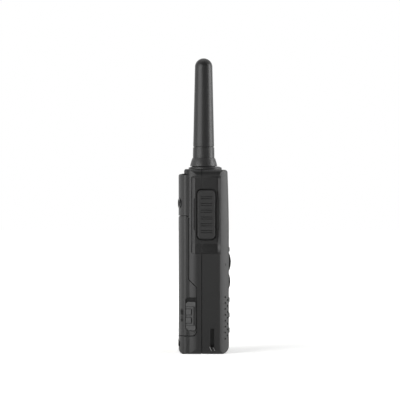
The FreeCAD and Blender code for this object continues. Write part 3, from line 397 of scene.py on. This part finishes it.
def lay(name, mesh, target, along, material, body, lift=0.02 * MM, depth=0.04 * MM):
    """Lay a flat sign onto a target along X, Y or Z, thicken it and make it a piece."""
    tree = BVHTree.FromPolygons([v.co for v in target.data.vertices],
                                [p.vertices for p in target.data.polygons])
    way = {"X": Vector((1, 0, 0)), "Y": Vector((0, 1, 0)), "Z": Vector((0, 0, -1))}[along]
    for v in mesh.verts:
        u, w = v.co.x, v.co.y
        start = {"X": (-OUTSIDE, u, w), "Y": (u, -OUTSIDE, w), "Z": (u, w, ABOVE)}[along]
        hit = tree.ray_cast(Vector(start), way)[0]
        v.co = hit - way * lift
    bmesh.ops.recalc_face_normals(mesh, faces=mesh.faces)
    turned = [f for f in mesh.faces if f.normal.dot(-way) < 0]
    bmesh.ops.reverse_faces(mesh, faces=turned)
    for v in mesh.verts:
        v.co += -way * depth / 2
    bmesh.ops.solidify(mesh, geom=mesh.faces[:], thickness=depth)
    bmesh.ops.recalc_face_normals(mesh, faces=mesh.faces)
    return piece(name, mesh, material, body)


def ink(name, tone, roughness):
    """Screen printing ink, with the slight unevenness of a pulled print."""
    material, nodes = new_material(name)
    place = add(nodes, "TexCoord").outputs["Object"]
    pull = add(nodes, "TexNoise", {"Vector": place, "Scale": 3000.0, "Detail": 2.0})
    shade = add(nodes, "MixRGB", {0: pull.outputs["Fac"], 1: scaled(tone, 0.8), 2: colour(tone)})
    paint = add(nodes, "BsdfPrincipled", {"Base Color": shade.outputs[0], "Roughness": roughness})
    add(nodes, "OutputMaterial", {"Surface": paint.outputs[0]})
    return material


pale_ink = ink("pale_grey_screen_ink", "#c9cac8", 0.5)
low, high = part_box("navigation_key")
middle = (low.z + high.z) / 2
signs = bmesh.new()
for side in (-1, 1):
    spot(signs, side * 7.0 * MM, middle, 0.9 * MM, 3, side * -90)
lay("navigation_arrows", signs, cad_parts["navigation_key"], "Y", pale_ink, "navigation_key")
signs = bmesh.new()
line_pitch = 0.9 * MM
for step in (-1, 0, 1):
    bar(signs, -14.0 * MM, middle + step * line_pitch, 2.8 * MM, 0.35 * MM)
lay("list_sign", signs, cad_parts["select_key_left"], "Y", pale_ink, "select_key_left")
signs = bmesh.new()
bar(signs, 14.6 * MM, middle, 2.4 * MM, 0.4 * MM)
spot(signs, 13.0 * MM, middle, 0.95 * MM, 3, 90)
lay("back_sign", signs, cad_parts["select_key_right"], "Y", pale_ink, "select_key_right")
low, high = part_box("function_key_middle")
middle = (low.z + high.z) / 2
dot_pitch = 1.7
for name, key_centre, count in (("left", -12.8, 1), ("middle", 0.0, 2), ("right", 12.8, 3)):
    signs = bmesh.new()
    for n in range(count):
        spot(signs, (key_centre + (n - (count - 1) / 2) * dot_pitch) * MM, middle, 0.55 * MM)
    lay("dots_" + name, signs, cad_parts["function_key_" + name], "Y", pale_ink, "function_key_" + name)

# Display signs: dark crystal segments for signal strength, battery charge and one channel
# digit, the plain figure 3. They lie on the crystal glass, under the cover.
dark_segment = ink("switched_crystal_segment", "#0a0c0d", 0.3)
signs = bmesh.new()
for n in range(4):
    height = (1.0 + 0.7 * n) * MM
    bar(signs, (-14.2 + 1.3 * n) * MM, 101.0 * MM + height / 2, 0.8 * MM, height)
for u, v, width, height in ((11.6, 102.6, 5.4, 3.0), (14.7, 102.6, 0.7, 1.4)):
    bar(signs, u * MM, v * MM, width * MM, height * MM)
stroke = 0.9 * MM
for v in (94.6, 90.4, 86.2):
    bar(signs, 0, v * MM, 4.4 * MM, stroke)
for v in (92.5, 88.3):
    bar(signs, 2.9 * MM, v * MM, stroke, 3.4 * MM)
lay("display_signs", signs, crystal_glass, "Y", dark_segment, "housing", 0.04 * MM, 0.06 * MM)

# Volume knob and latch slides: glass-filled nylon, moulded in a polished tool. The knob is
# pressed onto its shaft; the slides snap into the battery pack.
nylon = moulded("glass_filled_nylon", "#272727", 0.42, 0.35 * MM, 0.010 * MM, level=0.5)
finish(nylon, "volume_knob", "battery_latch_left", "battery_latch_right")

# Knob pointer and volume scale: a pale line on the knob, and dots printed on the deck
# round it that grow larger towards full volume.
knob_low, knob_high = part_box("volume_knob")
knob_x, knob_y = (knob_low.x + knob_high.x) / 2, (knob_low.y + knob_high.y) / 2
signs = bmesh.new()
bar(signs, knob_x, knob_y - 3.4 * MM, 0.8 * MM, 2.6 * MM, 2)
lay("knob_pointer", signs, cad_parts["volume_knob"], "Z", pale_ink, "volume_knob")
signs = bmesh.new()
dot_count = 9
scale_radius = 7.6 * MM
scale_sweep = 270
for n in range(dot_count):
    turn = math.radians(-225 + n * scale_sweep / (dot_count - 1))
    spot(signs, knob_x + scale_radius * math.cos(turn), knob_y + scale_radius * math.sin(turn),
         (0.22 + 0.03 * n) * MM, 12)
lay("volume_scale", signs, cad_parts["top_deck"], "Z", pale_ink, "housing")

# Emergency button: orange ABS, so that it is found at a glance.
finish(moulded("orange_abs", "#d9560f", 0.35, 0.5 * MM, 0.004 * MM, mottle=0.04), "emergency_button")

# Status light: frosted polycarbonate light pipe.
material, nodes = new_material("frosted_polycarbonate")
place = add(nodes, "TexCoord").outputs["Object"]
frost = add(nodes, "TexNoise", {"Vector": place, "Scale": 4000.0, "Detail": 2.0})
bump = add(nodes, "Bump", {"Height": frost.outputs["Fac"], "Strength": 0.5, "Distance": 0.01 * MM})
pipe = add(nodes, "BsdfPrincipled", {"Base Color": colour("#dfe2dd"), "Roughness": 0.4, "IOR": 1.58,
                                     "Transmission Weight": 0.6, "Normal": bump.outputs[0]})
add(nodes, "OutputMaterial", {"Surface": pipe.outputs[0]})
finish(material, "status_light")

# Antenna: thermoplastic urethane moulded over the whip, its skirt and its ferrule.
finish(moulded("overmoulded_tpu", "#1e1e1e", 0.40, 0.5 * MM, 0.006 * MM, level=0.4), "antenna_ferrule",
       "antenna_sheath")

# Antenna skirt: the sheath's urethane in a paler tone, so the skirt renders lighter than the sheath.
finish(moulded("paler_tpu_skirt", "#2c2c2c", 0.40, 0.5 * MM, 0.006 * MM, level=0.5), "antenna_skirt")

# Cells: two flat lithium cells in grey shrink sleeve.
finish(moulded("shrink_sleeve", "#55585c", 0.3, 0.8 * MM, 0.01 * MM), "battery_cells")

# Lock sign beside each latch: a closed padlock with an arrow under it, moulded into the
# corner of the pack and filled with black.
black_ink = ink("black_fill", "#040404", 1.0)
lock_y = 14.15 * MM
signs = bmesh.new()
bar(signs, lock_y, 27.0 * MM, 1.8 * MM, 3.0 * MM, 4)
bow(signs, lock_y, 28.6 * MM, 0.62 * MM, 0.45 * MM, 0, 180)
bar(signs, lock_y, 23.8 * MM, 0.6 * MM, 2.6 * MM, 3)
spot(signs, lock_y, 21.9 * MM, 1.2 * MM, 3, 180)
# The arrowhead is cut up, so that it follows the rounded corner instead of sinking into it.
bmesh.ops.subdivide_edges(signs, edges=signs.edges[-3:], cuts=3, use_grid_fill=True)
lock_sign = lay("lock_sign", signs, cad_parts["battery_case"], "X", black_ink, "battery_pack")
signs = bmesh.new()
signs.from_mesh(lock_sign.data)
bmesh.ops.scale(signs, vec=(-1, 1, 1), verts=signs.verts)
bmesh.ops.reverse_faces(signs, faces=signs.faces)
piece("lock_sign_far", signs, black_ink, "battery_pack")

# Lanyard bar at the foot of the slot: two pale, smooth lines laid along both edges of its slanting
# groove are a painted highlight, standing in for the light those edges catch.
painted_highlight_plastic = moulded("painted_highlight_pc_abs", "#8c8c8c", 0.25, 0.4 * MM, 0.002 * MM)
groove_slant = math.radians(-25)
groove_height = 3.6 * MM
signs = bmesh.new()
for edge_y in (-4.45, -6.55):
    start = len(signs.verts)
    bar(signs, 0, 0, 0.4 * MM, 3.0 * MM, 4)
    signs.verts.ensure_lookup_table()
    turn = Matrix.Translation((edge_y * MM, groove_height, 0)) @ Matrix.Rotation(groove_slant, 4, "Z")
    bmesh.ops.transform(signs, matrix=turn, verts=signs.verts[start:])
lay("painted_groove_highlights", signs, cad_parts["front_housing"], "X", painted_highlight_plastic, "housing")
